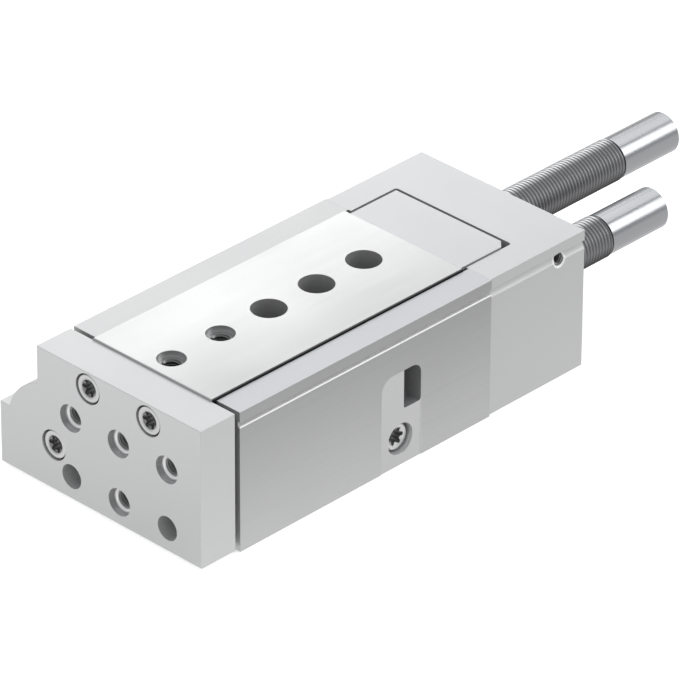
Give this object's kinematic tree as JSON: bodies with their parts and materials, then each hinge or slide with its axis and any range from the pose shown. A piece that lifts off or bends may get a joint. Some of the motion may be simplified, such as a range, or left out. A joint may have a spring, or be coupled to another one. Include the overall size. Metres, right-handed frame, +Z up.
{
  "type": "pneumatic slide table",
  "caption": "Compact pneumatic slide: a ball-guided steel slide and yoke plate driven by a cylinder in one aluminium housing, with shock absorbers at the rear.",
  "frame": {"origin": "axis of the middle mounting hole at the base", "axes": "+Y to the rear along the stroke, +Z up from the mounting base, +X to the right seen from the yoke plate's side"},
  "size_m": [0.0847, 0.2523, 0.0483],
  "materials": {
    "housing_aluminium": "brushed along the stroke",
    "cover_aluminium": "bead blasted",
    "yoke_aluminium": "bead blasted",
    "slide_steel": "ground along the stroke",
    "carrier_aluminium": "matt",
    "rail_steel": "ground",
    "cage_brass": "stamped",
    "ball_steel": "polished",
    "screw_steel": "turned",
    "dark_steel": "black oxide",
    "stop_steel": "hardened",
    "thread_steel": "rolled thread",
    "sleeve_chrome": "polished",
    "rod_chrome": "polished",
    "piston_aluminium": "turned",
    "bush_bronze": "sintered",
    "seal_rubber": "moulded",
    "magnet_plastic": "moulded",
    "wear_plastic": "moulded"
  },
  "bodies": {
    "housing_body": {"housing": "housing_aluminium", "rear_cover": "cover_aluminium", "left_rail": "rail_steel", "right_rail": "rail_steel", "cover_screws": "screw_steel", "retract_lock_screw": "dark_steel", "cover_o_ring": "seal_rubber", "guide_o_ring": "seal_rubber", "rod_guide": "piston_aluminium", "rod_wiper": "seal_rubber", "rod_seal": "seal_rubber", "rod_bush": "bush_bronze", "retaining_ring": "dark_steel", "stop_block": "stop_steel", "stop_clamp_screw": "screw_steel", "retract_absorber_tube": "thread_steel", "retract_absorber_sleeve": "sleeve_chrome", "retract_absorber_gland": "bush_bronze"},
    "slide_body": {"slide_table": "slide_steel", "yoke_plate": "yoke_aluminium", "yoke_screws": "screw_steel", "rod_screw": "screw_steel", "yoke_dowels": "rail_steel", "carrier_block": "carrier_aluminium", "carrier_screws": "screw_steel", "strike_pad": "rail_steel", "piston_rod": "rod_chrome", "piston": "piston_aluminium", "piston_seals": "seal_rubber", "piston_magnet": "magnet_plastic", "piston_wear_ring": "wear_plastic", "piston_nut": "screw_steel", "advance_absorber_tube": "thread_steel", "advance_absorber_sleeve": "sleeve_chrome", "advance_absorber_gland": "bush_bronze"},
    "left_cage_body": {"left_cage": "cage_brass", "left_balls": "ball_steel"},
    "right_cage_body": {"right_cage": "cage_brass", "right_balls": "ball_steel"},
    "advance_plunger_body": {"advance_plunger": "rod_chrome"},
    "retract_plunger_body": {"retract_plunger": "rod_chrome"}
  },
  "joints": [
    {"name": "slide_travel", "type": "slide", "parent": "housing_body", "child": "slide_body", "axis": [0, -1, 0], "range_m": [0, 0.03]},
    {"name": "left_cage_travel", "type": "slide", "parent": "housing_body", "child": "left_cage_body", "axis": [0, -1, 0], "range_m": [0, 0.015]},
    {"name": "right_cage_travel", "type": "slide", "parent": "housing_body", "child": "right_cage_body", "axis": [0, -1, 0], "range_m": [0, 0.015]},
    {"name": "advance_plunger_travel", "type": "slide", "parent": "slide_body", "child": "advance_plunger_body", "axis": [0, 1, 0], "range_m": [0, 0.015]},
    {"name": "retract_plunger_travel", "type": "slide", "parent": "housing_body", "child": "retract_plunger_body", "axis": [0, -1, 0], "range_m": [0, 0.015]}
  ],
  "couplings": [
    {"joint": "left_cage_travel", "follows": "slide_travel", "ratio": 0.5},
    {"joint": "right_cage_travel", "follows": "slide_travel", "ratio": 0.5},
    {"joint": "advance_plunger_travel", "follows": "slide_travel", "ratio": 0.5},
    {"joint": "retract_plunger_travel", "follows": "slide_travel", "ratio": 0.5}
  ]
}
